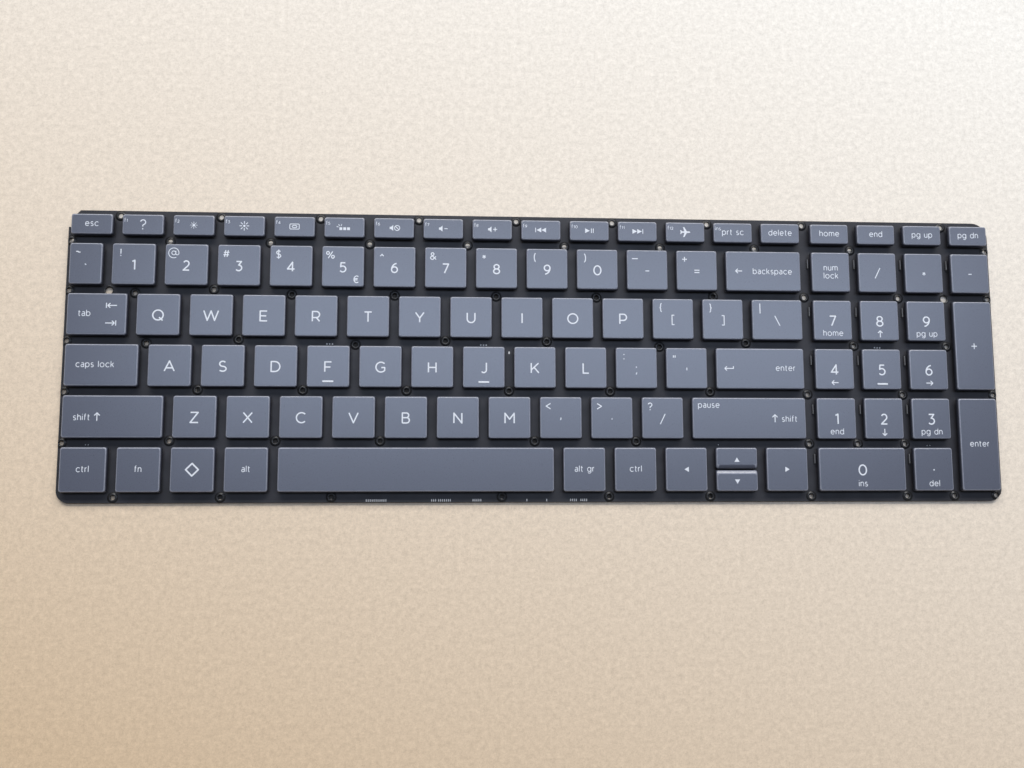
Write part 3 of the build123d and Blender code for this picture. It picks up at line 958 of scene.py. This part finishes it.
# Bright marks printed on the film, and the tabs of the plate under the number pad
MARK_HEIGHT = 0.03
DOT_RADIUS = 0.28
SMALL_DOT_RADIUS = 0.18
DOT_PITCH = 1.0
DOT_GAP = 0.85
DOT_SIDES = 12
LONE_DOT_X, LONE_DOT_Y = 2, 1
LONE_MARK = Box(-12.3, -11.8, 1.1, 2.0)
LONE_MARK_CORNER = 0.15
TRACE_WIDTH = 0.36
TRACE_PITCH = 0.7
TRACE_LENGTH = 0.9
TRACE_INSET = 0.25
TRACE_CORNER = 0.1
TRACE_GROUPS = [(-63.7, 11), (-40.3, 3), (-37.8, 7), (-25.4, 5), (-5.9, 1), (1.3, 1), (10, 4), (13.8, 4)]
trace_ink = finish("trace_ink", (0.55, 0.55, 0.55), (0.72, 0.72, 0.71), 0.4, (0.3, 0.45), 0.2, 0.004)
tab_metal = finish("tab_metal", (0.13, 0.13, 0.135), (0.22, 0.22, 0.225), 0.6, (0.25, 0.4), 0.2, 0.005)

marks = Shape()


def add_mark(outline):
    """Adds a mark to the film."""
    marks.prism(outline, FLOOR_Z - MARK_HEIGHT, FLOOR_Z + MARK_HEIGHT)


dot_rows = [(name, 3, DOT_RADIUS) for name in home_names]
dot_rows += [(name, 2, SMALL_DOT_RADIUS) for name in ("left_ctrl", "pad_dot")]
for name, count, radius in dot_rows:
    foot = feet[name]
    for i in range(count):
        x = (foot.left + foot.right) / 2 + (i - (count - 1) / 2) * DOT_PITCH
        add_mark(circle(x, foot.rear + DOT_GAP, radius, DOT_SIDES))
foot = feet["arrow_up"]
add_mark(circle(foot.left + LONE_DOT_X, foot.rear + LONE_DOT_Y, SMALL_DOT_RADIUS, DOT_SIDES))
add_mark(rounded_rectangle(LONE_MARK, LONE_MARK_CORNER))
for start, count in TRACE_GROUPS:
    for i in range(count):
        x = start + i * TRACE_PITCH
        y = cad_low.y / MM + TRACE_INSET
        add_mark(rounded_rectangle(Box(x, x + TRACE_WIDTH, y, y + TRACE_LENGTH), TRACE_CORNER))
marks.make("film_marks", "base", "membrane", [trace_ink])

# The tall keys of the number pad show no tab
TAB_GAP = 0.6
TAB_THICKNESS = 0.3
TAB_START = 2.4
TAB_LENGTH = 3.5
TAB_HEIGHT = 1.1
TAB_CORNER = 0.09
TAB_SHOULDER = 0.08
TAB_TAPER = 0.05
tabs = Shape()
for name in fixed_groups["number_pad_keycaps"]:
    if name in ("pad_plus", "pad_enter"):
        continue
    foot = feet[name]
    left = foot.left - TAB_GAP
    rear = foot.rear - TAB_START
    tab = Box(left, left + TAB_THICKNESS, rear - TAB_LENGTH, rear)
    tab_top_z = FLOOR_Z + TAB_HEIGHT
    levels = [(0, plate_top_z), (0, tab_top_z - TAB_SHOULDER), (TAB_TAPER, tab_top_z)]
    add_block(tabs, tab, TAB_CORNER, levels)
tabs.make("number_pad_tabs", "base", "plate", [tab_metal])


# CAD pieces that stay, with their own finishes
kept_finishes = {"membrane": membrane_film, "base_plate": plate_paint, "backlight_panel": panel_film}
for key_name in ("alt", "alt_gr"):
    for side in ("outer", "inner"):
        kept_finishes[f"{key_name}_{side}_lever"] = lever_plastic
for node, material in kept_finishes.items():
    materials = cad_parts[node].data.materials
    materials.clear()
    materials.append(material)


# Paper floor. Its tones run along PAPER_RISE, from the front one at 0 over the rear one to the far ones:
# the paler rear tone is painted light, the darker far ones painted shade.
# One sheet under the keyboard is dark with painted shade, and two that glow with painted light show through
# the holes.
FLOOR_REACH = 3000
PAPER_FRONT = (0.728, 0.546, 0.36)
PAPER_PAINTED_LIGHT = (0.95, 0.91, 0.835)
PAPER_PAINTED_LIGHT_AT = 0.25
PAPER_PAINTED_SHADE = {0.43: (0.7, 0.675, 0.63), 0.73: (0.49, 0.475, 0.45), 1: (0.42, 0.41, 0.39)}
PAPER_RISE = Vector((0.2375, 0.6025, 0))
PAPER_MIDDLE = 0.125
PAPER_FIBRE = 2.2
PAPER_GRAIN = (0.82, 1.18)
PAPER_ROUGH = (0.85, 0.95)
PAPER_RELIEF = (0.8, 0.02)
SHADED_SHEET_Z = 0.01
SHADED_SHEET = [(-125, -51.8), (95, -51.8), (95, 28), (-100, 28), (-125, 5)]
LIT_SHEET_Z = 0.02
# Glow and outline of each sheet of painted light under the keyboard
LIT_SHEETS = {
    "rear": (0.36, [(-171.5, 42), (171.5, 42), (171.5, 46), (165, 52.6), (-164, 52.6)]),
    "right": (0.22, [(97, 15), (145, 15), (145, 30), (97, 30)]),
}
GLOW_COLOUR = (1, 0.95, 0.88, 1)


def paper(name):
    """Brown paper with fibres of many sizes, paler towards the rear and the right with painted light, and
    darker far behind, where the window is near, with painted shade."""
    made = finish(name, PAPER_FRONT, PAPER_PAINTED_LIGHT, PAPER_FIBRE, PAPER_ROUGH, *PAPER_RELIEF)
    nodes, links = made.node_tree.nodes, made.node_tree.links
    fibres = nodes["Noise Texture"]
    fibres.inputs["Roughness"].default_value = 1

    rise = nodes.new("ShaderNodeVectorMath")
    rise.operation = "DOT_PRODUCT"
    rise.inputs[1].default_value = PAPER_RISE
    links.new(nodes["Texture Coordinate"].outputs["Object"], rise.inputs[0])
    pale = nodes.new("ShaderNodeMath")
    pale.inputs[1].default_value = PAPER_MIDDLE
    links.new(rise.outputs["Value"], pale.inputs[0])
    shade = nodes["Color Ramp"]
    tones = shade.color_ramp.elements
    tones[0].position = 0
    tones[1].position = PAPER_PAINTED_LIGHT_AT
    for position, colour in PAPER_PAINTED_SHADE.items():
        tones.new(position).color = (*colour, 1)
    links.new(pale.outputs["Value"], shade.inputs["Fac"])

    grain = add_map_range(made.node_tree, fibres.outputs["Fac"], PAPER_GRAIN, (NOISE_LOW, NOISE_HIGH))
    tint = nodes.new("ShaderNodeVectorMath")
    tint.operation = "SCALE"
    links.new(shade.outputs["Color"], tint.inputs[0])
    links.new(grain, tint.inputs["Scale"])
    links.new(tint.outputs["Vector"], nodes["Principled BSDF"].inputs["Base Color"])
    return made


def lit_paper(name, glow):
    """The same paper with an even glow, painted light that shows through the holes."""
    made = paper(name)
    shader = made.node_tree.nodes["Principled BSDF"]
    shader.inputs["Emission Color"].default_value = GLOW_COLOUR
    shader.inputs["Emission Strength"].default_value = glow
    return made


def make_sheet(name, outline, z, material):
    """Makes a flat sheet of the stage."""
    mesh = bpy.data.meshes.new(name)
    mesh.from_pydata([(x * MM, y * MM, z * MM) for x, y in outline], [], [range(len(outline))])
    mesh.materials.append(material)
    sheet = bpy.data.objects.new(name, mesh)
    bpy.context.scene.collection.objects.link(sheet)
    sheet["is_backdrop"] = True


make_sheet("floor", square(0, 0, FLOOR_REACH), 0, paper("paper"))
# Dark paper under the middle of the keyboard: painted shade, seen through the front holes
shaded_paper = finish(
    "shaded_paper", (0.06, 0.055, 0.05), (0.09, 0.08, 0.07), 1.2, PAPER_ROUGH, *PAPER_RELIEF
)
make_sheet("shaded_floor", SHADED_SHEET, SHADED_SHEET_Z, shaded_paper)
for place, (glow, outline) in LIT_SHEETS.items():
    make_sheet(f"lit_floor_{place}", outline, LIT_SHEET_Z, lit_paper(f"lit_paper_{place}", glow))


# Light and camera. The room gives little light, and looks pale to the camera.
DAYLIGHT = (1, 0.98, 0.95)
SKY_BLUE = (0.65, 0.77, 1)
ROOM_LIGHT = 0.1
ROOM_SEEN = 0.8


def area_light(name, place, size, power, colour, target=(0, 0, 0)):
    """A rectangular soft light that faces the target."""
    light = bpy.data.lights.new(name, "AREA")
    light.shape = "RECTANGLE"
    light.size, light.size_y = [value * MM for value in size]
    light.energy = power
    light.color = colour
    lamp = bpy.data.objects.new(name, light)
    lamp.location = [value * MM for value in place]
    towards = Vector(target) * MM - lamp.location
    lamp.rotation_euler = towards.to_track_quat("-Z", "Y").to_euler()
    bpy.context.scene.collection.objects.link(lamp)


area_light("window", (120, 1950, 1750), (3600, 900), 84, DAYLIGHT)
area_light("sky", (85, 195, 1000), (1110, 265), 2.75, SKY_BLUE, (85, 195, 0))
area_light("rear_sky", (180, 270, 1000), (1260, 130), 1.4, SKY_BLUE, (180, 270, 0))

world = bpy.data.worlds.new("room")
world.use_nodes = True
room = world.node_tree
room.nodes["Background"].inputs["Color"].default_value = (*DAYLIGHT, 1)
seen = room.nodes.new("ShaderNodeLightPath").outputs["Is Camera Ray"]
room_strength = add_map_range(room, seen, (ROOM_LIGHT, ROOM_SEEN))
room.links.new(room_strength, room.nodes["Background"].inputs["Strength"])

scene = bpy.context.scene
scene.world = world
scene.view_settings.view_transform = "Standard"

camera_data = bpy.data.cameras.new("camera")
camera_data.lens = CAMERA_LENS
camera_data.sensor_width = CAMERA_SENSOR
camera_data.clip_start = CAMERA_NEAR * MM
camera = bpy.data.objects.new("camera", camera_data)
camera.location = [value * MM for value in CAMERA_PLACE]
camera.rotation_euler = [radians(value) for value in CAMERA_TURN]
scene.collection.objects.link(camera)
scene.camera = camera

low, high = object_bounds()
